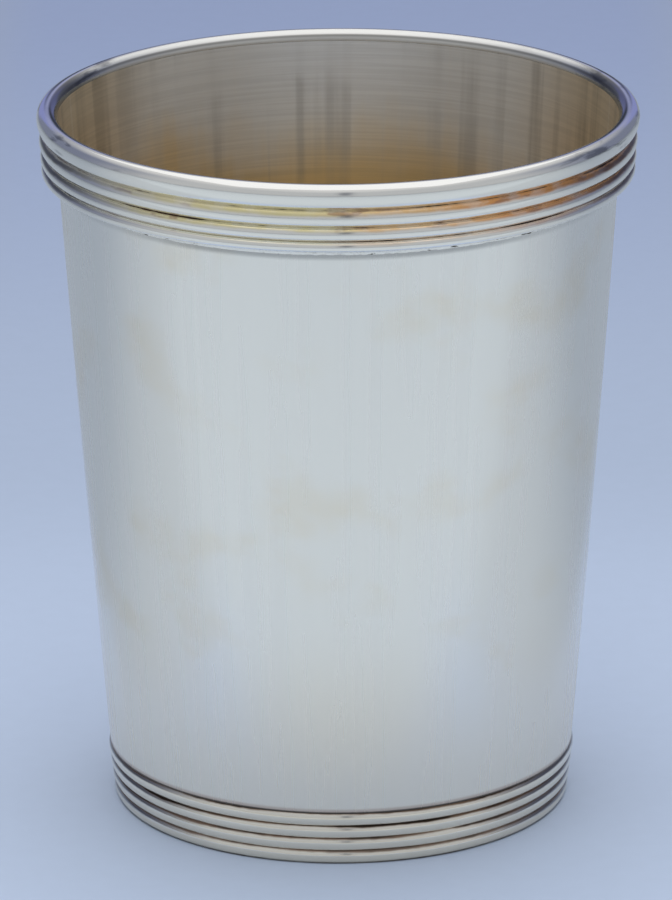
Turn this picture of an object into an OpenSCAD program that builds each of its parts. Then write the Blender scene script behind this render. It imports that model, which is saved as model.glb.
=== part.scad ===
// Julep cup: a tapered silver beaker with a reeded moulding round its rim and its base.
// Millimetres, +Z up. The origin is the middle of the face that the cup stands on.

/* [Cup] */
// Height from the face that the cup stands on to the top of the lip
cup_height = 95.3; // [80:0.1:120]

/* [Wall] */
// Outer diameter of the wall at its top edge, inside the rim moulding
wall_top_dia = 74.9; // [68:0.1:82]
// Outer diameter of the wall just above the base moulding
wall_foot_dia = 62.3; // [56:0.1:68]
// Thickness of the sheet that the wall is made of
wall_gauge = 0.5; // [0.4:0.05:0.9]
// How far the side swells beyond a straight line at half its height
wall_bow = 0.2; // [0:0.05:1]

/* [Rim moulding] */
// How far the roll of the lip stands out from the wall
lip_proud = 2.25; // [1.9:0.05:3]
// Height of the roll, from the top of the lip down to the first groove
lip_h = 3.3; // [2.6:0.1:4.5]
// Height of the whole moulding, roll and reeds
rim_band_h = 9; // [7.8:0.1:12]
// Thickness of the moulding at the bottom of its grooves
rim_strip_gauge = 1.5; // [0.9:0.05:1.7]
// How far each reed stands out from its grooves
rim_reed_rise = 0.65; // [0.2:0.05:0.7]

/* [Base moulding] */
// Height of the moulding
base_band_h = 7.3; // [6:0.1:10]
// Number of reeds round the base
base_reed_count = 4; // [3:1:5]
// How far the highest reed stands out beyond the wall above it
base_proud = 0.2; // [0:0.05:0.6]
// How far the lowest reed is drawn in from the highest, at the side
base_draw_in = 0.7; // [0:0.05:1.5]
// Thickness of the moulding at the bottom of its grooves
base_strip_gauge = 1; // [0.6:0.05:1.5]
// How far each reed stands out from its grooves
base_reed_rise = 0.4; // [0.15:0.05:0.6]

/* [Bottom] */
// Thickness of the bottom disc
disc_gauge = 0.8; // [0.5:0.05:1.5]
// Gap between the edge of the disc and the inside of the wall
disc_fit = 0.05; // [0.02:0.01:0.2]

/* [Solder] */
// Gap that the solder fills between the wall and the back of a moulding
solder_gap = 0.05; // [0.03:0.01:0.15]
// Width of the seam in the corner under the rim moulding
rim_seam_w = 0.8; // [0.3:0.05:1]
// Width of the seam in the corner under the bottom disc
bottom_seam_w = 0.5; // [0.2:0.05:1]
// Height of the wall's lower edge above the face that the cup stands on
foot_reveal = 0.5; // [0.3:0.05:1]

/* [Hidden] */
$fn = 180;
// Straight steps along the swelled side, the lip, the roll, a reed and a solder fillet
wall_steps = 12;
lip_steps = 24;
roll_steps = 10;
reed_steps = 10;
fillet_steps = 6;
// Heights of the rim's reeds as shares of the reeded part, from the top down
rim_reed_shares = [0.41, 0.33, 0.26];
// Share of the height under the wall's lower edge that the foot's solder fills
foot_seam_share = 0.8;

wall_top_r = wall_top_dia / 2;
wall_foot_r = wall_foot_dia / 2;

// The lip is half round, from the inside of the wall to the outside of the roll
lip_r = (lip_proud + wall_gauge) / 2;
lip_out_r = wall_top_r + lip_proud;
wall_top_z = cup_height - lip_r;
rim_foot_z = cup_height - rim_band_h;

// The wall is drawn in above the base moulding, and the bottom disc rests on that shoulder
shoulder_z = base_band_h;
ledge_z = shoulder_z + wall_gauge;
base_reed_h = base_band_h / base_reed_count;

// Outside of the wall above its shoulder, as [height, radius], with the swell of the side
wall_side = [
    for (i = [0 : wall_steps])
        let (t = i / wall_steps)
        [
            shoulder_z + (wall_top_z - shoulder_z) * t,
            wall_foot_r + (wall_top_r - wall_foot_r) * t + 4 * wall_bow * t * (1 - t)
        ]
];

// Outer radius of the wall at a height above its shoulder
function wall_r(z) = lookup(z, wall_side);

// Radius of the bottom of the base moulding's grooves at a height
function base_groove_r(z) =
    wall_foot_r + base_proud - base_reed_rise
    - base_draw_in * (base_band_h - base_reed_h / 2 - z) / (base_band_h - base_reed_h);

// Radius of the outside of the wall's drawn-in neck, behind the base moulding
function neck_r(z) = base_groove_r(z) - base_strip_gauge - solder_gap;

// Points of an arc from p down to q that stands out by rise at its middle, without p itself
function reed_points(p, q, rise) =
    let (
        chord = norm(q - p),
        radius = (chord * chord / 4 + rise * rise) / (2 * rise),
        along = (q - p) / chord,
        out = [-along[1], along[0]],
        centre = (p + q) / 2 + out * (rise - radius),
        half_angle = atan2(chord / 2, radius - rise)
    )
    [
        for (i = [1 : reed_steps])
            let (a = half_angle * (2 * i / reed_steps - 1))
            centre + radius * (out * cos(a) + along * sin(a))
    ];

// Share of the reeded part of the rim that lies above reed number i
function reeds_above(i) = i == 0 ? 0 : reeds_above(i - 1) + rim_reed_shares[i - 1];

// Point in the groove above reed number i of the rim, or the foot of the last reed
function rim_groove(i) =
    let (z = cup_height - lip_h - (rim_band_h - lip_h) * reeds_above(i))
    [wall_r(z) + rim_strip_gauge, z];

// Point in the groove above reed number i of the base, or the foot of the last reed
function base_groove(i) =
    let (z = base_band_h - i * base_reed_h)
    [base_groove_r(z), z];

// Points of a solder fillet that fills a corner and is hollow from p to q in front of it
function fillet_points(corner, p, q) = concat(
    [corner],
    [
        for (i = [0 : fillet_steps])
            let (a = 90 * i / fillet_steps)
            corner + (p - corner) * (1 - sin(a)) + (q - corner) * (1 - cos(a))
    ]
);

// A closed profile of [radius, height] points, spun round the cup's axis
module spun(points) {
    rotate_extrude()
        polygon(points);
}

// Tapered side of the cup, with its neck behind the base moulding
module wall() {
    outside = [for (p = wall_side) [p[1], p[0]]];
    inside = [
        for (i = [wall_steps : -1 : 1])
            [wall_side[i][1] - wall_gauge, wall_side[i][0]]
    ];
    color("silver")
        spun(concat(
            [
                [neck_r(foot_reveal), foot_reveal],
                [neck_r(shoulder_z), shoulder_z]
            ],
            outside,
            inside,
            [
                [wall_r(ledge_z) - wall_gauge, ledge_z],
                [neck_r(ledge_z) - wall_gauge, ledge_z],
                [neck_r(foot_reveal) - wall_gauge, foot_reveal]
            ]
        ));
}

// Flat bottom, dropped in from above onto the shoulder of the wall
module bottom_disc() {
    color("gainsboro")
        translate([0, 0, ledge_z])
            cylinder(h = disc_gauge, r = wall_r(ledge_z) - wall_gauge - disc_fit);
}

// Half-round lip, the roll that it runs into and three reeds, rebated over the wall's edge
module rim_moulding() {
    lip_centre = [lip_out_r - lip_r, wall_top_z];
    lip = [
        for (i = [0 : lip_steps])
            let (a = 180 * (1 - i / lip_steps))
            lip_centre + lip_r * [cos(a), sin(a)]
    ];

    drop = wall_top_z - rim_groove(0)[1];
    set_in = lip_out_r - rim_groove(0)[0];
    roll_r = (drop * drop + set_in * set_in) / (2 * set_in);
    roll_angle = atan2(drop, roll_r - set_in);
    roll = [
        for (i = [1 : roll_steps])
            let (a = roll_angle * i / roll_steps)
            [lip_out_r - roll_r * (1 - cos(a)), wall_top_z - roll_r * sin(a)]
    ];

    reeds = [
        for (i = [0 : len(rim_reed_shares) - 1])
            each reed_points(rim_groove(i), rim_groove(i + 1), rim_reed_rise)
    ];
    back = [
        for (p = wall_side)
            if (p[0] > rim_foot_z) [p[1] + solder_gap, p[0]]
    ];

    color("lightgray")
        spun(concat(lip, roll, reeds, [[wall_r(rim_foot_z) + solder_gap, rim_foot_z]], back));
}

// Reeded strip that lies in the wall's neck and carries the cup
module base_moulding() {
    reeds = [
        for (i = [0 : base_reed_count - 1])
            each reed_points(base_groove(i), base_groove(i + 1), base_reed_rise)
    ];
    color("lightgray")
        spun(concat(
            [base_groove(0)],
            reeds,
            [
                [neck_r(0) + solder_gap, 0],
                [neck_r(base_band_h) + solder_gap, base_band_h]
            ]
        ));
}

// Solder in the corner under the rim moulding
module rim_solder_seam() {
    corner = [wall_r(rim_foot_z), rim_foot_z];
    low_z = rim_foot_z - rim_seam_w;
    color("whitesmoke")
        spun(fillet_points(corner, corner + [rim_seam_w, 0], [wall_r(low_z), low_z]));
}

// Solder in the corner between the underside of the disc and the neck
module bottom_solder_seam() {
    corner = [neck_r(ledge_z) - wall_gauge, ledge_z];
    low_z = ledge_z - bottom_seam_w;
    color("whitesmoke")
        spun(fillet_points(
            corner,
            corner - [bottom_seam_w, 0],
            [neck_r(low_z) - wall_gauge, low_z]
        ));
}

// Solder in the step between the wall's lower edge and the base moulding
module foot_solder_seam() {
    corner = [neck_r(foot_reveal) + solder_gap, foot_reveal];
    seam_w = foot_seam_share * foot_reveal;
    low_z = foot_reveal - seam_w;
    color("whitesmoke")
        spun(fillet_points(
            corner,
            corner - [seam_w, 0],
            [neck_r(low_z) + solder_gap, low_z]
        ));
}

wall();
bottom_disc();
rim_moulding();
base_moulding();
rim_solder_seam();
bottom_solder_seam();
foot_solder_seam();
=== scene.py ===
"""A silver julep cup: a tapered beaker with a reeded moulding round its rim and its base.

The sections of the pieces are spun round the cup's axis by geometry nodes. Metres, +Z up, as the frame.
"""

import math
from functools import partial

import bmesh
import bpy
from bpy.props import FloatProperty, FloatVectorProperty, IntProperty, PointerProperty
from mathutils import Matrix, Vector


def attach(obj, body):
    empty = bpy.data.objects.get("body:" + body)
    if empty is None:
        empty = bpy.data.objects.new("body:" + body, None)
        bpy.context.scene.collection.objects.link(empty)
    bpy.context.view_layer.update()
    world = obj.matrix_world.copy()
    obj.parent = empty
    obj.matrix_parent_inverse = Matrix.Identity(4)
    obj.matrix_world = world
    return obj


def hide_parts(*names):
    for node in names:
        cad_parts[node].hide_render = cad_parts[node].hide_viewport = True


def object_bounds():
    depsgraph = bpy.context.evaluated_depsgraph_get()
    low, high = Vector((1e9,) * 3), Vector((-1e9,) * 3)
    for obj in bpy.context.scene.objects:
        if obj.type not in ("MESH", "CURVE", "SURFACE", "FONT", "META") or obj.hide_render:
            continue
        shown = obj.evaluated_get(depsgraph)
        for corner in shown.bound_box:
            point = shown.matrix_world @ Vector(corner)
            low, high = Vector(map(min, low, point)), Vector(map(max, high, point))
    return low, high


bl_info = {
    "name": "Julep Cup",
    "version": (1, 0, 0),
    "blender": (4, 5, 0),
    "location": "View3D > Sidebar > Julep Cup",
    "description": "Builds a silver julep cup with reeded mouldings round its rim and base",
    "category": "Add Mesh",
}

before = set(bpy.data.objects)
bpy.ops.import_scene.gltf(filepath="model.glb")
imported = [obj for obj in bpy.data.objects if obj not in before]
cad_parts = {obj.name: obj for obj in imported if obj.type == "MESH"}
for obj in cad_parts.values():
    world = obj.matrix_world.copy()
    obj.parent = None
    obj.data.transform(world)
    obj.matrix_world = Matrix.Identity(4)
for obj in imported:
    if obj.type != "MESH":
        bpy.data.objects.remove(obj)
CAD_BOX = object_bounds()
MM = 0.001


# Sizes, finish and studio


def length(name, description, millimetres):
    """A size in metres that the sidebar shows in the scene's own unit."""
    return FloatProperty(
        name=name, description=description, default=millimetres * MM, min=0, unit="LENGTH", precision=5
    )


def share(name, description, value):
    """A plain share from none to all."""
    return FloatProperty(
        name=name, description=description, default=value, min=0, max=1, subtype="FACTOR"
    )


def count(name, description, value, least):
    """A whole number of like things."""
    return IntProperty(name=name, description=description, default=value, min=least)


def angle(name, description, radians):
    """An angle in radians that the sidebar shows in degrees."""
    return FloatProperty(name=name, description=description, default=radians, subtype="ANGLE")


def power(name, description, watts):
    """The power of a light in watts."""
    return FloatProperty(name=name, description=description, default=watts, min=0, unit="POWER")


def linear(hex_colour):
    """Linear red, green and blue of an sRGB hex value such as "c8c2b4"."""
    channels = [int(hex_colour[i : i + 2], 16) / 255 for i in (0, 2, 4)]
    return tuple(
        c / 12.92 if c <= 0.04045 else ((c + 0.055) / 1.055) ** 2.4 for c in channels
    )


def colour(name, description, hex_colour):
    """A colour that the sidebar shows as a swatch."""
    return FloatVectorProperty(
        name=name, description=description, default=linear(hex_colour),
        min=0, max=1, size=3, subtype="COLOR",
    )


class CupSizes(bpy.types.PropertyGroup):
    """Sizes of the sheet, the mouldings and the solder."""

    height: length("Height", "From the table to the top of the lip", CAD_BOX[1].z / MM)
    wall_top_dia: length("Wall top", "Outer diameter of the wall at its top edge", 74.9)
    wall_foot_dia: length("Wall foot", "Outer diameter of the wall above the base moulding", 62.3)
    wall_gauge: length("Wall gauge", "Thickness of the sheet", 0.5)
    wall_bow: length("Wall bow", "Swell of the side at half its height", 0.2)
    lip_proud: length("Lip overhang", "How far the roll of the lip stands out from the wall", 2.25)
    lip_height: length("Lip height", "From the top of the lip down to the first groove", 3.3)
    rim_height: length("Rim moulding", "Height of the roll and the reeds together", 9)
    rim_gauge: length("Rim gauge", "Thickness of the rim moulding in its grooves", 1.5)
    rim_rise: length("Rim reed rise", "How far a rim reed stands out from its grooves", 0.65)
    rim_reeds: count("Rim reeds", "Number of reeds under the lip", 3, 1)
    rim_grading: share("Rim grading", "Height of each rim reed as a share of the one above", 0.8)
    base_height: length("Base moulding", "Height of the base moulding", 7.3)
    base_reeds: count("Base reeds", "Number of reeds round the base", 4, 2)
    base_grading: share("Base grading", "Height of each base reed as a share of the one above", 1)
    base_proud: length("Base overhang", "How far the highest base reed stands out from the wall", 0.2)
    base_draw_in: length("Base draw in", "How far the lowest base reed is drawn in", 0.7)
    base_gauge: length("Base gauge", "Thickness of the base moulding in its grooves", 1)
    base_rise: length("Base reed rise", "How far a base reed stands out from its grooves", 0.4)
    disc_gauge: length("Disc gauge", "Thickness of the bottom disc", 0.8)
    disc_fit: length("Disc fit", "Gap between the disc and the wall", 0.05)
    solder_gap: length("Solder gap", "Film of solder behind a moulding", 0.05)
    rim_seam: length("Rim seam", "Width of the solder under the rim moulding", 0.8)
    bottom_seam: length("Bottom seam", "Width of the solder under the disc", 0.5)
    foot_reveal: length("Foot reveal", "Height of the wall's lower edge above the table", 0.5)
    foot_seam: share("Foot seam", "Share of the foot reveal that solder fills", 0.8)


class CupFinish(bpy.types.PropertyGroup):
    """Colours and wear of the silver."""

    silver: colour("Silver", "Clean polished sterling", "f6f6f4")
    # The bloom is partly a painted reflection: low on the sheet and on moulding faces that look out and
    # down, it takes the blue out of the table mirrored there
    bloom: colour("Bloom", "First yellow tarnish that handling leaves on the sheet", "efe2c8")
    gold: colour("Gold tarnish", "Gold tarnish in the grooves at the front", "f0c68c")
    amber: colour("Amber tarnish", "Stronger tarnish in the grooves on one side", "e69c48")
    olive: colour("Olive tarnish", "Greenish tarnish in the grooves on the other side", "eee2aa")
    rust: colour("Rusty tarnish", "Red-brown patches in the grooves", "94603f")
    brown: colour("Brown tarnish", "Soft brown haze round the dark lines and inside the cup", "8c7360")
    # The umber also paints shade inside the lip: on its inner half at the two sides, and in a line where it
    # meets the inside
    umber: colour("Umber tarnish", "Dark old tarnish in the bottoms of the grooves", "2c221a")
    # The slate is painted shade under the rim moulding, and a painted reflection of the dark room on the
    # ledges and the roll at the two sides
    painted_slate_shade: colour("Slate tarnish", "Blue-black tarnish on the ledges at the two sides", "363c4c")
    inside_top: colour("Inside", "Silver of the inside near the lip", "f4f9fd")
    inside_warm: colour("Inside tarnish", "Warm tarnish below the lip, inside the cup", "e9d09c")
    inside_deep: colour("Inside deep", "Silver of the lower part of the inside", "e8e0d2")
    sheet_gloss: share("Sheet roughness", "Roughness of the handled sheet", 0.26)
    moulding_gloss: share("Moulding roughness", "Roughness of the polished mouldings", 0.11)
    inside_gloss: share("Inside roughness", "Roughness of the spun inside", 0.3)
    waver: length("Waver", "Depth of the hand-worked unevenness of the metal", 0.03)


class CupStudio(bpy.types.PropertyGroup):
    """Table, light and camera."""

    table_near: colour("Table", "Colour of the pale table close to the cup", "b5c4dc")
    # The table behind and far are darker as painted fall-off of the light
    table_mid: colour("Table behind", "Colour of the table a hand's breadth away", "9eacc3")
    table_side: colour("Table side", "Colour of the table at both sides, out of the picture", "b3babf")
    table_flank: colour("Table flank", "Colour of the table behind on both sides, also out of it", "98a1ab")
    table_front: colour("Table front", "Colour of the table in front, out of the picture", "c1c9ce")
    table_far: colour("Table far", "Colour of the table far behind, at the top of the picture", "8997b8")
    room_front: colour("Room front", "Light grey room on the camera's side", "b8babc")
    room_back: colour("Room back", "Slate of the room behind and beside the cup", "767c90")
    room_dark: colour("Room dark", "Dark gaps in the room, ahead of the cup and behind it", "454b59")
    room_violet: colour("Backdrop", "Blue of the backdrop behind the cup", "838abc")
    room_ceiling: colour("Ceiling", "Pale ceiling", "d2d2d2")
    ceiling_power: power("Ceiling light", "Power of the soft light above", 1.05)
    fill_power: power("Fill light", "Power of the light that doesn't show in the silver", 5.5)
    eye_back: length("Camera back", "Distance of the camera in front of the cup's axis", 948.27)
    eye_up: length("Camera height", "Height of the camera above the table", 358.13)
    eye_left: length("Camera left", "Offset of the camera to the left", 0.5)
    tilt: angle("Tilt", "Camera's tilt below level", 0.316691)
    roll: angle("Roll", "Camera's roll", -0.0048157)
    focal: FloatProperty(
        name="Focal length", description="Focal length for the long side of the picture",
        default=299.04, min=1, unit="CAMERA",
    )


# Sections of the pieces


# Steps along the stretches of a section
SIDE_STEPS = 72
NECK_STEPS = 6
DISC_STEPS = 24
LIP_STEPS = 40
ROLL_STEPS = 18
RIM_BACK_STEPS = 8
FILLET_STEPS = 8
REED_STEPS = 14


def spaced(first, last, steps):
    """Evenly spaced values from first to last."""
    return [first + (last - first) * i / steps for i in range(steps + 1)]


def fillet(corner, start, end):
    """A corner filled with solder, hollow from start to end."""
    arc = []
    for turn in spaced(0, math.pi / 2, FILLET_STEPS):
        to_start, to_end = 1 - math.sin(turn), 1 - math.cos(turn)
        arc.append(tuple(
            own + (first - own) * to_start + (last - own) * to_end
            for own, first, last in zip(corner, start, end)
        ))
    return [corner] + arc


class Section:
    """Outlines of the pieces, as (radius, height) points in metres."""

    def __init__(self, sizes):
        self.sizes = sizes
        self.lip_r = (sizes.lip_proud + sizes.wall_gauge) / 2
        self.wall_top_z = sizes.height - self.lip_r
        self.rim_foot_z = sizes.height - sizes.rim_height
        self.ledge_z = sizes.base_height + sizes.wall_gauge

    def wall_r(self, z):
        """Outer radius of the wall, with the swell of its side."""
        sizes = self.sizes
        up = (z - sizes.base_height) / (self.wall_top_z - sizes.base_height)
        straight = sizes.wall_foot_dia + (sizes.wall_top_dia - sizes.wall_foot_dia) * up
        return straight / 2 + 4 * sizes.wall_bow * up * (1 - up)

    def groove_r(self, z):
        """Radius of the bottom of the base moulding's grooves."""
        sizes = self.sizes
        reed = sizes.base_height / sizes.base_reeds
        drop = (sizes.base_height - reed / 2 - z) / (sizes.base_height - reed)
        return sizes.wall_foot_dia / 2 + sizes.base_proud - sizes.base_rise - sizes.base_draw_in * drop

    def neck_r(self, z):
        """Outer radius of the wall's neck behind the base moulding."""
        return self.groove_r(z) - self.sizes.base_gauge - self.sizes.solder_gap

    def wall(self):
        """The sheet: its neck and outside from the foot up, then its inside and neck down."""
        sizes, gauge = self.sizes, self.sizes.wall_gauge
        neck = [(self.neck_r(z), z) for z in spaced(sizes.foot_reveal, sizes.base_height, NECK_STEPS)]
        outside = [(self.wall_r(z), z) for z in spaced(sizes.base_height, self.wall_top_z, SIDE_STEPS)]
        inside = [(self.wall_r(z) - gauge, z) for z in spaced(self.wall_top_z, self.ledge_z, SIDE_STEPS)]
        back = [(self.neck_r(z) - gauge, z) for z in spaced(self.ledge_z, sizes.foot_reveal, NECK_STEPS)]
        return neck + outside + inside + back

    def disc(self):
        """The disc from the axis out and back, open at the axis."""
        edge = self.wall_r(self.ledge_z) - self.sizes.wall_gauge - self.sizes.disc_fit
        low, high = self.ledge_z, self.ledge_z + self.sizes.disc_gauge
        out = [(r, low) for r in spaced(0, edge, DISC_STEPS)]
        back = [(r, high) for r in spaced(edge, 0, DISC_STEPS)]
        return out + back

    def rim(self):
        """Lip, roll, foot and back of the rim moulding, and the number of the edge for its reeds.

        That edge runs from the first groove, where the roll ends, down to the foot.
        """
        sizes, r = self.sizes, self.lip_r
        lip_out = sizes.wall_top_dia / 2 + sizes.lip_proud
        lip = [
            (lip_out - r - r * math.cos(turn), self.wall_top_z + r * math.sin(turn))
            for turn in spaced(0, math.pi, LIP_STEPS)
        ]
        groove_z = sizes.height - sizes.lip_height
        groove_r = self.wall_r(groove_z) + sizes.rim_gauge
        drop, set_in = self.wall_top_z - groove_z, lip_out - groove_r
        roll_r = (drop * drop + set_in * set_in) / (2 * set_in)
        roll = [
            (lip_out - roll_r * (1 - math.cos(turn)), self.wall_top_z - roll_r * math.sin(turn))
            for turn in spaced(0, math.atan2(drop, roll_r - set_in), ROLL_STEPS)[1:]
        ]
        foot = (self.wall_r(self.rim_foot_z) + sizes.rim_gauge, self.rim_foot_z)
        behind = spaced(self.rim_foot_z, self.wall_top_z, RIM_BACK_STEPS)
        back = [(self.wall_r(z) + sizes.solder_gap, z) for z in behind]
        return lip + roll + [foot] + back, len(lip) + len(roll) - 1

    def base(self):
        """Front and back of the base moulding, and the number of the edge for its reeds, the front."""
        top = self.sizes.base_height
        front = [(self.groove_r(top), top), (self.groove_r(0), 0)]
        back = [(self.neck_r(z) + self.sizes.solder_gap, z) for z in spaced(0, top, NECK_STEPS)]
        return front + back, 0

    def rim_seam(self):
        """Solder in the corner under the rim moulding."""
        z, width = self.rim_foot_z, self.sizes.rim_seam
        corner = (self.wall_r(z), z)
        return fillet(corner, (corner[0] + width, z), (self.wall_r(z - width), z - width))

    def bottom_seam(self):
        """Solder in the corner under the disc, inside the neck."""
        z, width, gauge = self.ledge_z, self.sizes.bottom_seam, self.sizes.wall_gauge
        corner = (self.neck_r(z) - gauge, z)
        return fillet(corner, (corner[0] - width, z), (self.neck_r(z - width) - gauge, z - width))

    def foot_seam(self):
        """Solder in the corner under the wall's lower edge, behind the base moulding."""
        z, gap = self.sizes.foot_reveal, self.sizes.solder_gap
        width = self.sizes.foot_seam * z
        corner = (self.neck_r(z) + gap, z)
        return fillet(corner, (corner[0] - width, z), (self.neck_r(z - width) + gap, z - width))


# Node trees


MATH, VECTOR, RANGE, MIX = "ShaderNodeMath", "ShaderNodeVectorMath", "ShaderNodeMapRange", "ShaderNodeMix"
NOISE, SPLIT, SAMPLE = "ShaderNodeTexNoise", "ShaderNodeSeparateXYZ", "GeometryNodeSampleIndex"
USUAL_SETTINGS = {MIX: {"data_type": "RGBA"}, RANGE: {"interpolation_type": "SMOOTHSTEP"}}
NODES_IN_ROW = 9
NODE_WIDTH, NODE_HEIGHT = 220, 260
NEARLY_EVEN = 0.9999

# Points nearer than WELD become one, and the waver fades out below STANDING_EDGE
WELD = 0.0001 * MM
STANDING_EDGE = 1.5 * MM
LOOKS_INWARD = -0.2


def add(tree, kind, *sources, named=None, **settings):
    """Adds a node with its settings. Values and other nodes feed its inputs in order, or by name."""
    node = tree.nodes.new(kind)
    row, column = divmod(len(tree.nodes), NODES_IN_ROW)
    node.location = (column * NODE_WIDTH, -row * NODE_HEIGHT)
    for key, value in {**USUAL_SETTINGS.get(kind, {}), **settings}.items():
        setattr(node, key, value)
    live = [socket for socket in node.inputs if socket.enabled]
    fed = list(zip(live, sources)) + [(node.inputs[key], source) for key, source in (named or {}).items()]
    for socket, source in fed:
        if isinstance(source, bpy.types.Node):
            source = next(output for output in source.outputs if output.enabled)
        if isinstance(source, bpy.types.NodeSocket):
            tree.links.new(source, socket)
        elif source is not None:
            socket.default_value = (*source, 1.0) if socket.type == "RGBA" else source
    return node


def outward(node, place):
    """The level direction from the cup's axis to a place."""
    level = node(VECTOR, place, (1.0, 1.0, 0.0), operation="MULTIPLY")
    return node(VECTOR, level, operation="NORMALIZE")


def new_tree(name, inputs):
    """A geometry tree with named inputs, its function to add nodes, its inputs and its output."""
    tree = bpy.data.node_groups.new(name, "GeometryNodeTree")
    tree.interface.new_socket("Geometry", in_out="OUTPUT", socket_type="NodeSocketGeometry")
    tree.interface.new_socket("Geometry", in_out="INPUT", socket_type="NodeSocketGeometry")
    for label, kind, value in inputs:
        socket = tree.interface.new_socket(label, in_out="INPUT", socket_type="NodeSocket" + kind)
        if value is not None:
            socket.default_value = value
    node = partial(add, tree)
    return tree, node, node("NodeGroupInput").outputs, node("NodeGroupOutput").inputs[0]


def reeds_tree():
    """Swells one edge of a section into graded half-round reeds, as a moulding's rollers do."""
    tree, node, given, result = new_tree("Reeded edge", [
        ("Edge", "Int", 0), ("Reeds", "Int", 3), ("Grading", "Float", 0.8),
        ("Steps in a reed", "Int", REED_STEPS), ("Rise", "Float", MM),
    ])
    section, edge, reeds = given["Geometry"], given["Edge"], given["Reeds"]
    steps, rise = given["Steps in a reed"], given["Rise"]

    # A grading of 1 has no falling series, so even reeds are graded by next to nothing
    grading = node(MATH, given["Grading"], NEARLY_EVEN, operation="MINIMUM")

    # The edge is cut into steps, and every later point of the section moves up by as many
    points = node("GeometryNodeAttributeDomainSize", section, component="MESH")
    cuts = node(MATH, reeds, steps, operation="MULTIPLY")
    added = node(MATH, cuts, 1, operation="SUBTRACT")
    line = node("GeometryNodeMeshLine", node(MATH, points, added, operation="ADD"))
    index = node("GeometryNodeInputIndex")
    along_edge = node(MATH, index, edge, operation="SUBTRACT")

    # Which reed a point lies on, and how far down it
    counted = node(MATH, node(MATH, along_edge, steps, operation="DIVIDE"), operation="FLOOR")
    reed = node(MATH, counted, node(MATH, reeds, 1, operation="SUBTRACT"), operation="MINIMUM")
    gone = node(MATH, reed, steps, operation="MULTIPLY")
    down = node(MATH, node(MATH, along_edge, gone, operation="SUBTRACT"), steps, operation="DIVIDE")
    from_crest = node(MATH, down, 2, -1, operation="MULTIPLY_ADD")

    # Grooves stand in a falling series of steps from one end of the edge to the other
    position = node("GeometryNodeInputPosition")
    top = node(SAMPLE, section, position, edge, data_type="FLOAT_VECTOR")
    next_point = node(MATH, edge, 1, operation="ADD")
    foot = node(SAMPLE, section, position, next_point, data_type="FLOAT_VECTOR")
    fall = node(VECTOR, foot, top, operation="SUBTRACT")
    whole = node(MATH, 1, node(MATH, grading, reeds, operation="POWER"), operation="SUBTRACT")
    grooves = []
    for number in (reed, node(MATH, reed, 1, operation="ADD")):
        passed = node(MATH, 1, node(MATH, grading, number, operation="POWER"), operation="SUBTRACT")
        part = node(MATH, passed, whole, operation="DIVIDE")
        grooves.append(node(VECTOR, fall, part, top, operation="MULTIPLY_ADD"))
    upper, lower = grooves

    # Between two grooves the edge is an arc that stands out by the rise
    chord = node(VECTOR, lower, upper, operation="SUBTRACT")
    half = node(MATH, node(VECTOR, chord, operation="LENGTH"), 0.5, operation="MULTIPLY")
    along = node(VECTOR, chord, operation="NORMALIZE")
    outward = node(VECTOR, along, (0.0, 1.0, 0.0), operation="CROSS_PRODUCT")
    half_square = node(MATH, half, half, operation="MULTIPLY")
    squares = node(MATH, rise, rise, half_square, operation="MULTIPLY_ADD")
    radius = node(MATH, squares, node(MATH, rise, 2, operation="MULTIPLY"), operation="DIVIDE")
    to_centre = node(MATH, rise, radius, operation="SUBTRACT")
    turn = node(MATH, half, node(MATH, radius, rise, operation="SUBTRACT"), operation="ARCTAN2")
    angle = node(MATH, turn, from_crest, operation="MULTIPLY")
    cosine = node(MATH, angle, operation="COSINE")
    out_by = node(MATH, radius, cosine, to_centre, operation="MULTIPLY_ADD")
    along_by = node(MATH, radius, node(MATH, angle, operation="SINE"), operation="MULTIPLY")
    middle = node(VECTOR, node(VECTOR, upper, lower, operation="ADD"), (0.5, 0.5, 0.5), operation="MULTIPLY")
    raised = node(VECTOR, outward, out_by, middle, operation="MULTIPLY_ADD")
    on_arc = node(VECTOR, along, along_by, raised, operation="MULTIPLY_ADD")

    # The rest of the section stays as it is
    after = node(MATH, along_edge, cuts, operation="GREATER_THAN")
    plain = node(MATH, after, node(MATH, along_edge, 0, operation="LESS_THAN"), operation="MAXIMUM")
    moved_up = node(MATH, after, added, operation="MULTIPLY")
    old_index = node(MATH, index, moved_up, operation="SUBTRACT")
    kept = node(SAMPLE, section, position, old_index, data_type="FLOAT_VECTOR")
    place = node("GeometryNodeSwitch", plain, on_arc, kept, input_type="VECTOR")
    moved = node("GeometryNodeSetPosition", line, None, place)

    # Tarnish reads how deep in a groove a point lies
    depth = node(MATH, from_crest, operation="ABSOLUTE")
    hollow = node(MATH, depth, node(MATH, 1, plain, operation="SUBTRACT"), operation="MULTIPLY")
    stored = node("GeometryNodeStoreNamedAttribute", moved, None, "hollow", hollow, data_type="FLOAT")
    tree.links.new(stored.outputs[0], result)
    return tree


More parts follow.
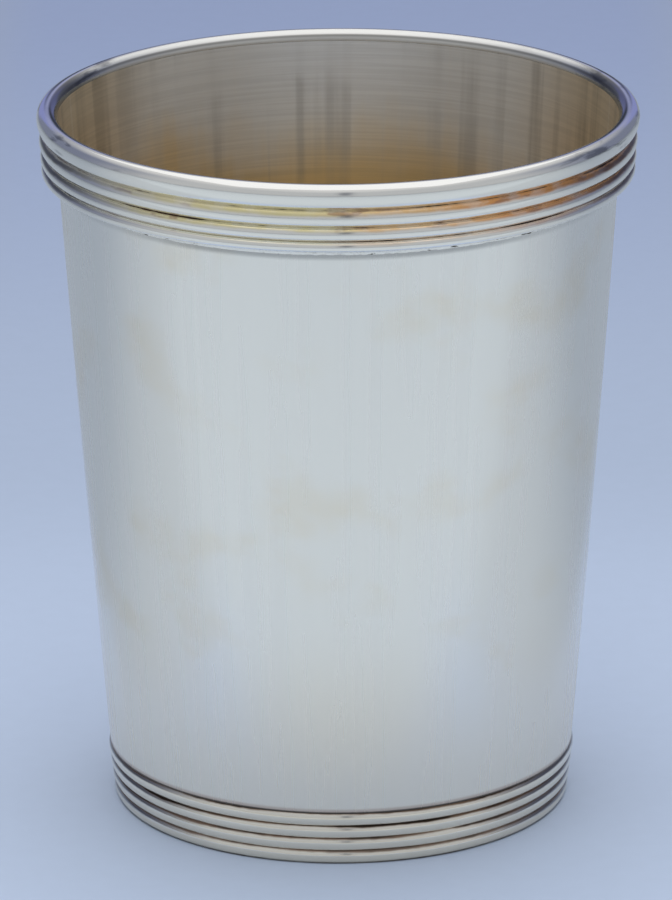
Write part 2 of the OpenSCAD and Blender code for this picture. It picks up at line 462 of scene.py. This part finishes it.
def spinning_tree():
    """Spins a section round the Z axis, with the slight waver of hand-worked metal."""
    tree, node, given, result = new_tree("Spinning", [
        ("Steps round", "Int", 360), ("Closed section", "Bool", True), ("Turned over", "Bool", False),
        ("Waver", "Float", 0.0), ("Waver width", "Float", 20 * MM), ("Pits", "Float", 0.0),
        ("Pit width", "Float", MM), ("Seed", "Float", 0.0),
        ("Finish", "Material", None), ("Inside finish", "Material", None),
    ])
    section, steps, seed = given["Geometry"], given["Steps round"], given["Seed"]

    # Each column of a grid becomes the section, turned by one step more
    points = node("GeometryNodeAttributeDomainSize", section, component="MESH")
    rows = node(MATH, points, given["Closed section"], operation="ADD")
    columns = node(MATH, steps, 1, operation="ADD")
    grid = node("GeometryNodeMeshGrid", named={"Vertices X": columns, "Vertices Y": rows})
    index = node("GeometryNodeInputIndex")
    half_past = node(MATH, index, 0.5, operation="ADD")
    column = node(MATH, node(MATH, half_past, rows, operation="DIVIDE"), operation="FLOOR")
    row_start = node(MATH, column, rows, operation="MULTIPLY")
    row = node(MATH, node(MATH, index, row_start, operation="SUBTRACT"), operation="ROUND")
    number = node(MATH, row, node(MATH, row, points, operation="LESS_THAN"), operation="MULTIPLY")
    position = node("GeometryNodeInputPosition")
    on_section = node(SAMPLE, section, position, number, data_type="FLOAT_VECTOR")
    hollow_here = node("GeometryNodeInputNamedAttribute", "hollow", data_type="FLOAT")
    hollow = node(SAMPLE, section, hollow_here, number, data_type="FLOAT")
    radius, _, height = node(SPLIT, on_section).outputs
    share_round = node(MATH, node(MATH, column, steps, operation="MODULO"), steps, operation="DIVIDE")
    angle = node(MATH, share_round, math.tau, operation="MULTIPLY")
    across = node(MATH, radius, node(MATH, angle, operation="SINE"), operation="MULTIPLY")
    ahead = node(MATH, radius, node(MATH, angle, operation="COSINE"), operation="MULTIPLY")
    back = node(MATH, ahead, -1, operation="MULTIPLY")
    spun = node("GeometryNodeSetPosition", grid, None, node("ShaderNodeCombineXYZ", across, back, height))
    marked = node("GeometryNodeStoreNamedAttribute", spun, None, "hollow", hollow, data_type="FLOAT")
    turned = node("GeometryNodeFlipFaces", marked, given["Turned over"])
    merged = node("GeometryNodeMergeByDistance", turned, None, named={"Distance": WELD})

    # The waver only goes into the metal, and fades out at the face that the cup stands on
    waver_scale = node(MATH, 1, given["Waver width"], operation="DIVIDE")
    broad = node(NOISE, position, seed, waver_scale, 1.5, noise_dimensions="4D")
    pit_scale = node(MATH, 1, given["Pit width"], operation="DIVIDE")
    pitting = node(NOISE, position, seed, pit_scale, 2.0, noise_dimensions="4D")
    pitted = node(RANGE, pitting, 0.52, 0.7, interpolation_type="LINEAR")
    pits = node(MATH, pitted, given["Pits"], operation="MULTIPLY")
    below = node(MATH, 1, broad, operation="SUBTRACT")
    depth = node(MATH, below, given["Waver"], pits, operation="MULTIPLY_ADD")
    above_table = node(SPLIT, position).outputs[2]
    fade = node(RANGE, above_table, 0.0, STANDING_EDGE)
    inward = node(MATH, node(MATH, depth, fade, operation="MULTIPLY"), -1, operation="MULTIPLY")
    normal = node("GeometryNodeInputNormal")
    push = node(VECTOR, normal, named={"Scale": inward}, operation="SCALE")
    worked = node("GeometryNodeSetPosition", merged, named={"Offset": push})
    smooth = node("GeometryNodeSetShadeSmooth", worked)

    # Faces that look at the axis take the inside finish
    facing_out = node(VECTOR, outward(node, position), normal, operation="DOT_PRODUCT")
    looks_in = node(MATH, facing_out, LOOKS_INWARD, operation="LESS_THAN")
    real = node("GeometryNodeRealizeInstances", smooth)
    outside = node("GeometryNodeSetMaterial", real, None, given["Finish"])
    whole = node("GeometryNodeSetMaterial", outside, looks_in, given["Inside finish"])
    tree.links.new(whole.outputs[0], result)
    return tree


# Finishes


# A range takes a value, where a mark starts and where it is whole, and then the mark's share at
# each. Noise lies round 0.5, and a slope is the cosine between the metal's normal and a direction.


def new_finish(name, **settings):
    """A material, its function to add nodes, its shader with settings, and the place in the object."""
    finish = bpy.data.materials.new(name)
    finish.use_nodes = True
    finish.node_tree.nodes.clear()
    node = partial(add, finish.node_tree)
    shader = node("ShaderNodeBsdfPrincipled", named=settings)
    node("ShaderNodeOutputMaterial", shader)
    return finish, node, shader, node("ShaderNodeTexCoord").outputs["Object"]


def grains(node, place, sizes_mm, detail=3.0):
    """Noise whose grains have the given sizes in millimetres along X, Y and Z."""
    scale = tuple(1000 / size for size in sizes_mm)
    mapped = node("ShaderNodeMapping", place, named={"Scale": scale})
    return node(NOISE, mapped, 1.0, detail, 0.5)


def on_cylinder(node, place, radius=36 * MM):
    """The place moved level onto a cylinder, so that a pattern runs straight up the tapered wall."""
    up = node(VECTOR, place, (0.0, 0.0, 1.0), operation="MULTIPLY")
    return node(VECTOR, outward(node, place), (radius, radius, 0.0), up, operation="MULTIPLY_ADD")


def feed(node, shader, base, rough, marks, strength, depth):
    """Links a colour, a roughness and marks of a given depth to the shader."""
    relief = node("ShaderNodeBump", strength, depth, named={"Height": marks})
    for name, source in (("Base Color", base), ("Roughness", rough), ("Normal", relief)):
        shown = next(output for output in source.outputs if output.enabled)
        shader.id_data.links.new(shown, shader.inputs[name])


def sheet_finish(scene):
    """Sterling sheet, polished on a buff and handled since.

    Soft broad reflections, a faint upright grain from wiping, and pale yellow clouds of first
    tarnish, with more bloom towards the foot that is partly a painted reflection. Under the rim
    a slate band of painted shade lies below the moulding, and a rusty dark line runs round above
    the base.
    """
    look, sizes = scene.cup_finish, scene.cup_sizes
    finish, node, shader, place = new_finish("handled_sterling_sheet", Metallic=1.0)
    across, _, height = node(SPLIT, place).outputs
    aside = node(MATH, across, operation="ABSOLUTE")

    # Where the marks start and are whole
    rim_foot, base_top = sizes.height - sizes.rim_height, sizes.base_height
    lower_part = (36 * MM, 10 * MM)
    front = (32 * MM, 16 * MM)
    painted_shade_under_rim = (rim_foot - 1.7 * MM, rim_foot - MM)
    above_base = (base_top + 0.85 * MM, base_top + 0.35 * MM)
    at_base = (base_top + 0.34 * MM, base_top + 0.14 * MM)

    # Yellow clouds of first tarnish, and more bloom towards the foot, which is partly a painted reflection
    # of the darker, greyer table in front
    clouds = node(RANGE, grains(node, place, (15, 15, 12), 6.0), 0.49, 0.74, 0.0, 0.4)
    low = node(RANGE, height, *lower_part, 0.0, 0.64)
    bloom_and_painted_reflection = node(MATH, clouds, low, operation="MAXIMUM")
    base = node(MIX, bloom_and_painted_reflection, look.silver, look.bloom)
    # Painted shade: a slate band on the wall under the rim moulding, strongest at the front
    facing = node(RANGE, aside, *front, 0.25, 1.0)
    tarnish_and_painted_light = node(MATH, node(RANGE, height, *painted_shade_under_rim, 0.0, 0.45), facing, operation="MULTIPLY")
    base = node(MIX, tarnish_and_painted_light, base, look.painted_slate_shade)
    base = node(MIX, node(RANGE, height, *above_base, 0.0, 0.4), base, look.rust)
    base = node(MIX, node(RANGE, height, *at_base, 0.0, 0.85), base, look.umber)
    wiping = grains(node, on_cylinder(node, place), (2.2, 2.2, 60), 2.0)
    rough = node(RANGE, wiping, 0.3, 0.7, look.sheet_gloss - 0.03, look.sheet_gloss + 0.04)
    hairlines = grains(node, place, (9, 9, 0.25), 2.0)
    feed(node, shader, base, rough, hairlines, strength=0.008, depth=0.2 * MM)
    return finish


def inside_finish(scene):
    """The same sheet inside, left as it was spun.

    Fine level rings, upright soft streaks, and tarnish that is warm below the lip and paler
    again further down. Towards the two sides, as the camera sees them, the inside is warmer,
    browner and more streaked.
    """
    look, top = scene.cup_finish, scene.cup_sizes.height
    finish, node, shader, place = new_finish("spun_sterling_inside", Metallic=0.7)
    across, _, height = node(SPLIT, place).outputs

    # Where the tarnish starts and is whole. The streaks and drifts lift a place by about 9 mm
    streaks_lift, drifts_lift = 6 * MM, 12 * MM
    below_lip = (top + 0.2 * MM, top - 13.3 * MM)
    lower_part = (top - 24.3 * MM, top - 65.3 * MM)
    two_sides = (21 * MM, 37 * MM)

    streaks = grains(node, on_cylinder(node, place), (3, 3, 120), 4.0)
    upward = node(SPLIT, node("ShaderNodeNewGeometry").outputs["Normal"]).outputs[2]
    upright = node(RANGE, upward, 0.7, 0.3)
    drifts = grains(node, place, (16, 16, 12), 2.0)
    lifted = node(MATH, streaks, streaks_lift, height, operation="MULTIPLY_ADD")
    lifted = node(MATH, drifts, drifts_lift, lifted, operation="MULTIPLY_ADD")
    aside = node(RANGE, node(MATH, across, operation="ABSOLUTE"), *two_sides, 0.0, 0.8)
    warmed = node(MATH, node(RANGE, lifted, *below_lip), aside, operation="MAXIMUM")
    base = node(MIX, warmed, look.inside_top, look.inside_warm)
    base = node(MIX, node(RANGE, height, *lower_part), base, look.inside_deep)
    browned = node(MATH, aside, 0.5, operation="MULTIPLY")
    base = node(MIX, browned, base, look.brown)

    # Streaks mark the upright side only, faintly where the drifts are thin
    soil = node(MATH, node(RANGE, streaks, 0.47, 0.66, 0.0, 0.3), upright, operation="MULTIPLY")
    faded = node(MATH, soil, node(RANGE, drifts, 0.4, 0.58, 0.15, 0.8), operation="MULTIPLY")
    soil = node(MATH, soil, aside, faded, operation="MULTIPLY_ADD")
    base = node(MIX, soil, base, look.umber)
    wipe = node(MATH, node(RANGE, streaks, 0.4, 0.3, 0.0, 0.25), upright, operation="MULTIPLY")
    base = node(MIX, wipe, base, look.silver)
    rings = grains(node, place, (20, 20, 0.35), 3.0)
    base = node(MIX, node(RANGE, rings, 0.35, 0.65, 0.0, 0.1), base, look.umber)
    rough = node(RANGE, rings, 0.3, 0.7, look.inside_gloss - 0.02, look.inside_gloss + 0.02)
    feed(node, shader, base, rough, rings, strength=0.01, depth=0.2 * MM)
    return finish


def moulding_finish(scene, name, shelf_stain, line_width, tarnish_and_painted_light, dark_from):
    """Rolled sterling moulding, bright on its crests.

    Tarnish that no cloth reaches lies on the ledges over the grooves, olive at the left through
    gold to amber at the right, and dark brown in the bottoms of the grooves. Towards the two
    sides, starting at dark_from as a share of the radius, the ledges are painted slate: a painted
    reflection of the dark room there. shelf_stain is the stain's share, line_width a dark line's
    share of its groove, and tarnish_and_painted_light the share of bloom and of the brown halo;
    on the faces that look out and down the bloom is also a painted reflection of the table.
    """
    look, sizes = scene.cup_finish, scene.cup_sizes
    finish, node, shader, place = new_finish(name, Metallic=1.0)
    hollow = node("ShaderNodeAttribute", attribute_name="hollow").outputs["Fac"]
    across, _, height = node(SPLIT, place).outputs
    normal = node("ShaderNodeNewGeometry").outputs["Normal"]
    upward = node(SPLIT, normal).outputs[2]
    radial = outward(node, place)
    facing_out = node(VECTOR, radial, normal, operation="DOT_PRODUCT")
    beside = node(MATH, node(SPLIT, radial).outputs[0], operation="ABSOLUTE")

    # Where the marks start and are whole. The patches move the first three about 15 mm to the left
    rim_foot, roll_foot = sizes.height - sizes.rim_height, sizes.height - sizes.lip_height
    left_part, gold_part, amber_part = (-18 * MM, 0), (12 * MM, 22 * MM), (26 * MM, 38 * MM)
    above_rim_foot = (rim_foot + 0.7 * MM, rim_foot + 3.7 * MM)
    above_table = (1.5 * MM, 5.5 * MM)
    above_roll_foot = (roll_foot + 0.5 * MM, roll_foot + 1.5 * MM)

    # How far up from the bottom of a groove the tarnish reaches
    patches = grains(node, place, (12, 12, 3))
    specks = grains(node, place, (1.5, 1.5, 0.6))
    by_patch = node(MATH, patches, 0.7, -0.35, operation="MULTIPLY_ADD")
    by_speck = node(MATH, specks, 0.2, -0.1, operation="MULTIPLY_ADD")
    reach = node(MATH, hollow, node(MATH, by_patch, by_speck, operation="ADD"), operation="ADD")

    # The stain shows on the ledges that look up
    looks_up = node(RANGE, upward, 0.0, 0.35)
    ledge = node(MATH, looks_up, node(RANGE, reach, 0.25, 0.6), operation="MULTIPLY")
    swayed = node(MATH, patches, 30 * MM, across, operation="MULTIPLY_ADD")
    kept = node(RANGE, swayed, *left_part, shelf_stain * 0.6, shelf_stain)
    mottling = node(RANGE, grains(node, place, (2.6, 2.6, 0.9), 4.0), 0.34, 0.56, 0.7, 1.0)
    stained = node(MATH, ledge, kept, operation="MULTIPLY")
    stained = node(MATH, stained, mottling, operation="MULTIPLY")
    upper = node(RANGE, height, *above_rim_foot, 0.4, 1.0)
    stained = node(MATH, stained, upper, operation="MULTIPLY")
    stain = node(MIX, node(RANGE, swayed, *gold_part), look.olive, look.gold)
    stain = node(MIX, node(RANGE, swayed, *amber_part), stain, look.amber)
    rusty = node(RANGE, grains(node, place, (4.5, 4.5, 1.2), 4.0), 0.57, 0.66, 0.0, 0.6)
    stain = node(MIX, rusty, stain, look.rust)
    # The bloom is heavier on faces that look out and down than on the ledges: partly first tarnish, partly a
    # painted reflection that takes the blue out of the table these faces mirror
    bloom_and_painted_tint = node(RANGE, looks_up, 0.0, 1.0, tarnish_and_painted_light, tarnish_and_painted_light * 0.3)
    base = node(MIX, bloom_and_painted_tint, look.silver, look.bloom)
    base = node(MIX, stained, base, stain)

    # Painted reflection: at the two sides the ledges are painted slate, for the dark room they face there
    black = node(MATH, ledge, node(RANGE, beside, dark_from, 0.95, 0.0, 0.8), operation="MULTIPLY")
    black = node(MATH, black, node(RANGE, reach, 0.95, 0.75, 0.2, 1.0), operation="MULTIPLY")
    base = node(MIX, black, base, look.painted_slate_shade)

    # Dark brown lines in the grooves, each in a soft brown halo, and fainter next to the table
    halo = node(RANGE, reach, 0.65, 0.95, 0.0, tarnish_and_painted_light)
    base = node(MIX, halo, base, look.brown)
    amber_spots = node(RANGE, grains(node, place, (7, 7, 2), 2.0), 0.42, 0.6, 0.0, 0.8)
    deepest = node(MIX, amber_spots, look.umber, look.brown)
    line = node(RANGE, reach, 1.0 - line_width, 1.06 - line_width * 0.6)
    line = node(MATH, line, node(RANGE, height, *above_table, 0.5, 0.95), operation="MULTIPLY")
    base = node(MIX, line, base, deepest)

    # Painted shade: at the two sides the lip's inner half is painted dark, where the cup itself blocks what
    # it would mirror
    painted_lip_shade = node(RANGE, facing_out, -0.08, -0.35, 0.0, 0.75)
    painted_lip_shade = node(MATH, painted_lip_shade, node(RANGE, beside, 0.82, 0.97), operation="MULTIPLY")
    base = node(MIX, painted_lip_shade, base, look.umber)

    # Painted shade: a dark line runs round inside the lip, in the corner where it meets the inside of the
    # cup, and fades where the lip turns down into the cup
    painted_corner_shade = node(RANGE, facing_out, -0.7, -0.84, 0.0, 0.6)
    painted_corner_shade = node(MATH, painted_corner_shade, node(RANGE, facing_out, -0.86, -0.95, 1.0, 0.45), operation="MULTIPLY")
    base = node(MIX, painted_corner_shade, base, look.umber)

    # Painted reflection: slate smears on the roll, also at the two sides, for the dark room it faces there
    painted_side_smears = node(RANGE, grains(node, place, (9, 9, 1.1), 4.0), 0.56, 0.66, 0.0, 0.6)
    painted_side_smears = node(MATH, painted_side_smears, node(RANGE, beside, 0.61, 0.87), operation="MULTIPLY")
    painted_side_smears = node(MATH, painted_side_smears, node(RANGE, height, *above_roll_foot), operation="MULTIPLY")
    base = node(MIX, painted_side_smears, base, look.painted_slate_shade)

    # The grooves are duller than the crests, and so is the lip's inner half, but not at the sides
    rough = node(RANGE, reach, 0.5, 1.0, look.moulding_gloss, look.moulding_gloss + 0.2)
    scraped = node(RANGE, facing_out, -0.1, -0.4, 0.0, 0.3)
    scraped = node(MATH, scraped, node(RANGE, beside, 0.95, 0.78), operation="MULTIPLY")
    rough = node(MATH, rough, scraped, operation="ADD")
    feed(node, shader, base, rough, grains(node, place, (6, 6, 0.2), 2.0), strength=0.03, depth=0.2 * MM)
    return finish


def solder_finish(scene):
    """Silver solder as it ran into the corner, then scraped.

    A paler, slightly rough line with a few dark pits.
    """
    look = scene.cup_finish
    finish, node, shader, place = new_finish("scraped_silver_solder", Metallic=1.0)
    pits = node(RANGE, grains(node, place, (1.6, 1.6, 0.5), 3.0), 0.59, 0.66)
    base = node(MIX, pits, look.silver, look.umber)
    flow = grains(node, place, (0.9, 0.9, 0.5))
    rough = node(RANGE, flow, 0.3, 0.7, 0.28, 0.5)
    feed(node, shader, base, rough, flow, strength=0.25, depth=0.3 * MM)
    return finish


# Making a piece


FEWEST_FACES = 100
SHARP_FROM = math.radians(38)


def finish_named(name, maker):
    """A material by its name, made when it is first asked for."""
    return bpy.data.materials.get(name) or maker(bpy.context.scene)


def tree_named(name, maker):
    """A geometry tree by its name, made when it is first asked for."""
    return bpy.data.node_groups.get(name) or maker()


def modify(piece, tree, values):
    """Adds a geometry nodes modifier and sets its inputs by their identifiers."""
    modifier = piece.modifiers.new(tree.name, "NODES")
    modifier.node_group = tree
    sockets = {
        item.name: item.identifier
        for item in tree.interface.items_tree
        if item.item_type == "SOCKET" and item.in_out == "INPUT"
    }
    for name, value in values.items():
        modifier[sockets[name]] = value


def spin(name, section, finish, inside, slot, nodes, reeds=None, **spinning):
    """Makes a piece from its section, turns it into a plain mesh and ties it to the frame."""
    mesh = bpy.data.meshes.new(name + "_section")
    points = len(section)
    closed = spinning.get("Closed section", True)
    edges = [(i, (i + 1) % points) for i in range(points if closed else points - 1)]
    mesh.from_pydata([(r, 0, z) for r, z in section], edges, [])
    draft = bpy.data.objects.new(name + "_section", mesh)
    bpy.context.scene.collection.objects.link(draft)
    if reeds:
        modify(draft, tree_named("Reeded edge", reeds_tree), reeds)
    sides = zip(section, section[1:] + section[:1])
    area = sum(r * next_z - next_r * z for (r, z), (next_r, next_z) in sides)
    values = {"Finish": finish, "Inside finish": inside, "Turned over": area < 0, **spinning}
    modify(draft, tree_named("Spinning", spinning_tree), values)
    bpy.context.view_layer.update()
    graph = bpy.context.evaluated_depsgraph_get()
    made = bpy.data.meshes.new_from_object(
        draft.evaluated_get(graph), preserve_all_data_layers=True, depsgraph=graph
    )
    bpy.data.objects.remove(draft)
    bpy.data.meshes.remove(mesh)
    if len(made.polygons) < FEWEST_FACES:
        raise RuntimeError(f"{name} came out with {len(made.polygons)} faces")

    shell = bmesh.new()
    shell.from_mesh(made)
    bmesh.ops.recalc_face_normals(shell, faces=shell.faces)
    open_edges = sum(not edge.is_manifold for edge in shell.edges)
    shell.to_mesh(made)
    shell.free()
    if open_edges:
        raise RuntimeError(f"{name} has {open_edges} open edges")
    made.set_sharp_from_angle(angle=SHARP_FROM)
    made.name = name
    piece = bpy.data.objects.new(name, made)
    bpy.context.scene.collection.objects.link(piece)
    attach(piece, "root")
    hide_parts(*nodes)
    return piece


class CUP_OT_wall(bpy.types.Operator):
    """Spins the tapered wall, with its neck behind the base moulding"""

    bl_idname = "cup.wall"
    bl_label = "Wall"

    def execute(self, context):
        sheet = finish_named("handled_sterling_sheet", sheet_finish)
        inside = finish_named("spun_sterling_inside", inside_finish)
        waver = context.scene.cup_finish.waver
        spin(
            "cup_wall", Section(context.scene.cup_sizes).wall(), sheet, inside, "silver_sheet", ["wall"],
            **{"Steps round": 384, "Waver": waver, "Waver width": 24 * MM, "Seed": 3.0},
        )
        return {"FINISHED"}


class CUP_OT_bottom(bpy.types.Operator):
    """Makes the flat bottom disc"""

    bl_idname = "cup.bottom"
    bl_label = "Bottom"

    def execute(self, context):
        inside = finish_named("spun_sterling_inside", inside_finish)
        section = Section(context.scene.cup_sizes).disc()
        spin(
            "cup_bottom", section, inside, inside, "silver_sheet", ["bottom_disc"],
            **{"Steps round": 256, "Closed section": False,
               "Waver": 0.02 * MM, "Waver width": 18 * MM, "Seed": 5.0},
        )
        return {"FINISHED"}


class CUP_OT_mouldings(bpy.types.Operator):
    """Makes the reeded mouldings of the rim and the base"""

    bl_idname = "cup.mouldings"
    bl_label = "Mouldings"

    def execute(self, context):
        scene = context.scene
        sizes = scene.cup_sizes
        rim_marks = {"shelf_stain": 0.9, "line_width": 0.03, "tarnish_and_painted_light": 0.1, "dark_from": 0.76}
        base_marks = {"shelf_stain": 0.15, "line_width": 0.2, "tarnish_and_painted_light": 0.8, "dark_from": 0.5}
        rim_reeds = {"Reeds": sizes.rim_reeds, "Grading": sizes.rim_grading, "Rise": sizes.rim_rise}
        base_reeds = {"Reeds": sizes.base_reeds, "Grading": sizes.base_grading, "Rise": sizes.base_rise}
        for node, (section, edge), marks, reeds, seed in (
            ("rim_moulding", Section(sizes).rim(), rim_marks, rim_reeds, 11.0),
            ("base_moulding", Section(sizes).base(), base_marks, base_reeds, 17.0),
        ):
            silver = moulding_finish(scene, node + "_sterling", **marks)
            spin(
                node + "_silver", section, silver, silver, "silver_moulding", [node],
                reeds={"Edge": edge, "Steps in a reed": REED_STEPS, **reeds},
                **{"Steps round": 640, "Waver": scene.cup_finish.waver, "Waver width": 6 * MM, "Seed": seed},
            )
        return {"FINISHED"}


class CUP_OT_seams(bpy.types.Operator):
    """Runs the solder into its three corners"""

    bl_idname = "cup.seams"
    bl_label = "Solder seams"

    def execute(self, context):
        outline = Section(context.scene.cup_sizes)
        solder = finish_named("scraped_silver_solder", solder_finish)
        for name, section, node in (
            ("rim_solder", outline.rim_seam(), "rim_solder_seam"),
            ("bottom_solder", outline.bottom_seam(), "bottom_solder_seam"),
            ("foot_solder", outline.foot_seam(), "foot_solder_seam"),
        ):
            spin(
                name, section, solder, solder, "silver_solder", [node],
                **{"Steps round": 900, "Waver": 0.03 * MM, "Waver width": 4 * MM,
                   "Pits": 0.12 * MM, "Pit width": 1.2 * MM, "Seed": 23.0},
            )
        return {"FINISHED"}


# Studio


TABLE_REACH = 3
CEILING_SIZE, CEILING_PLACE = (0.8, 1.25), (0, 0.3, 0.78)
FILL_SIZE, FILL_PLACE = (0.9, 0.9), (0, 0.03, 0.85)


def table_finish(studio):
    """Matt seamless paper, pale blue by the cup and darker behind it, which is painted fall-off of the
    light.

    In front and at both sides, out of the picture, it has other colours, which the silver mirrors.
    """
    finish, node, shader, place = new_finish("matt_seamless_paper", Roughness=0.55)
    across, along, _ = node(SPLIT, place).outputs

    # Where the colours start and are whole, in metres along and across the table
    past_cup, far, flank, front = (0.0, 0.15), (0.12, 0.42), (-0.04, 0.09), (-0.045, -0.08)
    two_sides = (0.052, 0.088)

    # Painted fall-off of the light: the colour darkens from near the cup to the middle and far behind
    seen = node(MIX, node(RANGE, along, *past_cup), studio.table_near, studio.table_mid)
    seen = node(MIX, node(RANGE, along, *far), seen, studio.table_far)
    side = node(MIX, node(RANGE, along, *flank), studio.table_side, studio.table_flank)
    aside = node(RANGE, node(MATH, across, operation="ABSOLUTE"), *two_sides)
    whole = node(MIX, aside, seen, side)
    whole = node(MIX, node(RANGE, along, *front), whole, studio.table_front)
    shade = node(RANGE, grains(node, place, (3, 3, 3), 4.0), 0.2, 0.8, 0.99, 1.01)
    fibres = node(VECTOR, whole, named={"Scale": shade}, operation="SCALE")
    shader.id_data.links.new(fibres.outputs[0], shader.inputs["Base Color"])
    return finish


def room_light(scene, studio):
    """A plain room: light on the camera's side, slate behind, a blue backdrop and a pale ceiling.

    A direction's shares across, back and up tell where in the room it points.
    """
    world = bpy.data.worlds.new("soft_grey_room")
    world.use_nodes = True
    scene.world = world
    world.node_tree.nodes.clear()
    node = partial(add, world.node_tree)
    across, back, up = node(SPLIT, node("ShaderNodeTexCoord").outputs["Generated"]).outputs
    to_back = node(RANGE, back, -0.45, 0.45)
    room = node(MIX, to_back, studio.room_front, studio.room_back)

    # A narrow dark gap in the room, ahead of the cup
    off_gap = node(MATH, node(MATH, across, 0.044, operation="SUBTRACT"), operation="ABSOLUTE")
    ahead = node(RANGE, back, -0.4, -0.7)
    gap = node(MATH, node(RANGE, off_gap, 0.055, 0.02), ahead, operation="MULTIPLY")
    gap = node(MATH, gap, node(RANGE, up, 0.0, 0.3, 0.12, 0.72), operation="MULTIPLY")
    room = node(MIX, gap, room, studio.room_dark)

    # The backdrop, a band behind the cup, with a dark gap low in its middle
    beside = node(MATH, across, operation="ABSOLUTE")
    band = node(MATH, node(RANGE, beside, 0.42, 0.32), node(RANGE, up, 0.42, 0.32), operation="MULTIPLY")
    low = node(MATH, band, node(RANGE, back, 0.2, 0.5), operation="MULTIPLY")
    room = node(MIX, low, room, studio.room_violet)
    under = node(MATH, node(RANGE, up, 0.3, 0.18), node(RANGE, back, 0.8, 0.95), operation="MULTIPLY")
    under = node(MATH, under, node(RANGE, beside, 0.2, 0.1), operation="MULTIPLY")
    room = node(MIX, under, room, studio.room_dark)

    # The ceiling comes lower behind the cup than in front of it or beside it
    raised = node(MATH, back, 0.15, up, operation="MULTIPLY_ADD")
    raised = node(MATH, beside, -0.25, raised, operation="MULTIPLY_ADD")
    overhead = node(RANGE, raised, 0.32, 0.75)
    room = node(MIX, overhead, room, studio.room_ceiling)
    seen = node("ShaderNodeLightPath").outputs["Is Camera Ray"]
    shown = node(MIX, seen, room, studio.table_far)
    node("ShaderNodeOutputWorld", node("ShaderNodeBackground", shown, 1.0))


def soft_light(scene, name, size, place, watts):
    """An area light that looks straight down."""
    lamp = bpy.data.lights.new(name, "AREA")
    lamp.shape = "RECTANGLE"
    lamp.size, lamp.size_y = size
    lamp.energy = watts
    light = bpy.data.objects.new(name, lamp)
    light.location = place
    scene.collection.objects.link(light)
    return light


class CUP_OT_studio(bpy.types.Operator):
    """Lays the table and sets the light and the camera"""

    bl_idname = "cup.studio"
    bl_label = "Studio"

    def execute(self, context):
        scene = context.scene
        studio = scene.cup_studio
        scene.view_settings.view_transform = "Standard"

        corners = [(x * TABLE_REACH, y * TABLE_REACH, 0) for x, y in ((-1, -1), (1, -1), (1, 1), (-1, 1))]
        table = bpy.data.meshes.new("table")
        table.from_pydata(corners, [], [(0, 1, 2, 3)])
        table.materials.append(table_finish(studio))
        floor = bpy.data.objects.new("table", table)
        scene.collection.objects.link(floor)

        soft_light(scene, "ceiling_light", CEILING_SIZE, CEILING_PLACE, studio.ceiling_power)
        fill = soft_light(scene, "fill_light", FILL_SIZE, FILL_PLACE, studio.fill_power)
        fill.visible_glossy = False

        lens = bpy.data.cameras.new("camera")
        lens.lens = studio.focal
        camera = bpy.data.objects.new("camera", lens)
        camera.matrix_world = (
            Matrix.Translation((-studio.eye_left, -studio.eye_back, studio.eye_up))
            @ Matrix.Rotation(math.pi / 2 - studio.tilt, 4, "X")
            @ Matrix.Rotation(studio.roll, 4, "Z")
        )
        scene.collection.objects.link(camera)
        scene.camera = camera
        room_light(scene, studio)
        return {"FINISHED"}


class CUP_PT_panel(bpy.types.Panel):
    """Lists the cup's operators, sizes and colours"""

    bl_idname = "CUP_PT_panel"
    bl_label = "Julep Cup"
    bl_space_type = "VIEW_3D"
    bl_region_type = "UI"
    bl_category = "Julep Cup"

    def draw(self, context):
        for operator in OPERATORS:
            self.layout.operator(operator.bl_idname)
        for title, group in (("Sizes", "cup_sizes"), ("Finish", "cup_finish"), ("Studio", "cup_studio")):
            box = self.layout.box()
            box.label(text=title)
            for name in getattr(context.scene, group).__annotations__:
                box.prop(getattr(context.scene, group), name)


OPERATORS = (CUP_OT_wall, CUP_OT_bottom, CUP_OT_mouldings, CUP_OT_seams, CUP_OT_studio)
GROUPS = {"cup_sizes": CupSizes, "cup_finish": CupFinish, "cup_studio": CupStudio}


def register():
    for cls in (*GROUPS.values(), *OPERATORS, CUP_PT_panel):
        bpy.utils.register_class(cls)
    for name, cls in GROUPS.items():
        setattr(bpy.types.Scene, name, PointerProperty(type=cls))


def unregister():
    for name in GROUPS:
        delattr(bpy.types.Scene, name)
    for cls in (CUP_PT_panel, *reversed(OPERATORS), *reversed(GROUPS.values())):
        bpy.utils.unregister_class(cls)


def main():
    register()
    bpy.ops.cup.wall()
    bpy.ops.cup.bottom()
    bpy.ops.cup.mouldings()
    bpy.ops.cup.seams()
    bpy.ops.cup.studio()


if __name__ == "__main__":
    main()
